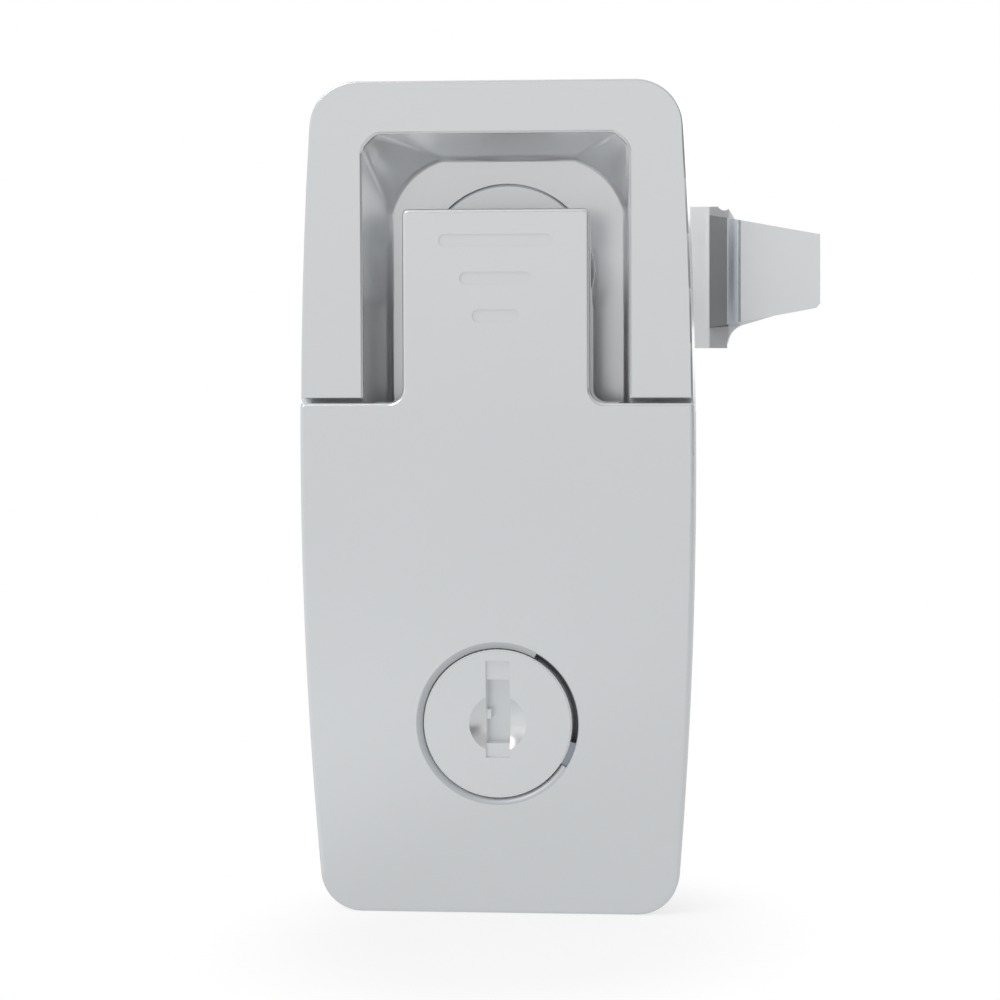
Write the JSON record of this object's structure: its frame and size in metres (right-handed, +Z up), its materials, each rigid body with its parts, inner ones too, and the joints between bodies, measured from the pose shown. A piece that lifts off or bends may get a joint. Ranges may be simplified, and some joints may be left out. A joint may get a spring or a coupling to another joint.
{
  "type": "compression latch",
  "caption": "Flush lift-and-turn compression latch with a T-shaped handle, a key lock and an offset cam, for a door or lid panel.",
  "frame": {"origin": "where the spindle's axis meets the front of the panel that the gasket seats on", "axes": "+X right seen from the front, the way the cam points when closed; +Y back through the panel, along the spindle; +Z up, from the key lock to the tongue"},
  "size_m": [0.0551, 0.054, 0.0898],
  "materials": {
    "plated_casting": "satin-bright chrome plate on die-cast zinc",
    "turned_steel": "zinc-plated turned steel",
    "pressed_steel": "zinc-plated pressed steel",
    "spring_wire": "bright drawn wire",
    "wafer_brass": "stamped brass",
    "seal_rubber": "matte black rubber"
  },
  "bodies": {
    "housing": {"housing": "plated_casting", "gasket": "seal_rubber", "turntable": "plated_casting", "pivot_pins": "turned_steel", "thrust_washer": "pressed_steel", "handle_buffers": "seal_rubber"},
    "handle": {"handle": "plated_casting", "drive_studs": "turned_steel", "lock_barrel": "plated_casting", "lock_ring_nut": "turned_steel"},
    "plug": {"lock_plug": "plated_casting", "keyway_shutter": "pressed_steel", "lock_wafers": "wafer_brass", "locking_arm": "pressed_steel", "arm_screw": "turned_steel"},
    "sleeve": {"drive_sleeve": "turned_steel", "sleeve_o_ring": "seal_rubber", "stop_washer": "pressed_steel", "sleeve_clip": "pressed_steel", "release_spring": "spring_wire"},
    "spindle": {"spindle": "turned_steel", "spring_collar": "pressed_steel", "front_nut": "turned_steel", "cam": "plated_casting", "lock_washer": "pressed_steel", "rear_nut": "turned_steel"}
  },
  "joints": [
    {"name": "handle_lift", "type": "hinge", "parent": "housing", "child": "handle", "pos_m": [0, 0.0002, 0], "axis": [-1, 0, 0], "range_deg": [0, 90]},
    {"name": "key_turn", "type": "hinge", "parent": "handle", "child": "plug", "pos_m": [0, 0, -0.0489], "axis": [0, -1, 0], "range_deg": [0, 75]},
    {"name": "cam_turn", "type": "hinge", "parent": "housing", "child": "sleeve", "pos_m": [0, 0, 0], "axis": [0, -1, 0], "range_deg": [0, 90]},
    {"name": "spindle_draw", "type": "slide", "parent": "sleeve", "child": "spindle", "axis": [0, 1, 0], "range_m": [0, 0.003], "deforming": ["release_spring"]}
  ],
  "couplings": [
    {"joint": "spindle_draw", "follows": "handle_lift", "m_per_rad": 0.0019098}
  ]
}
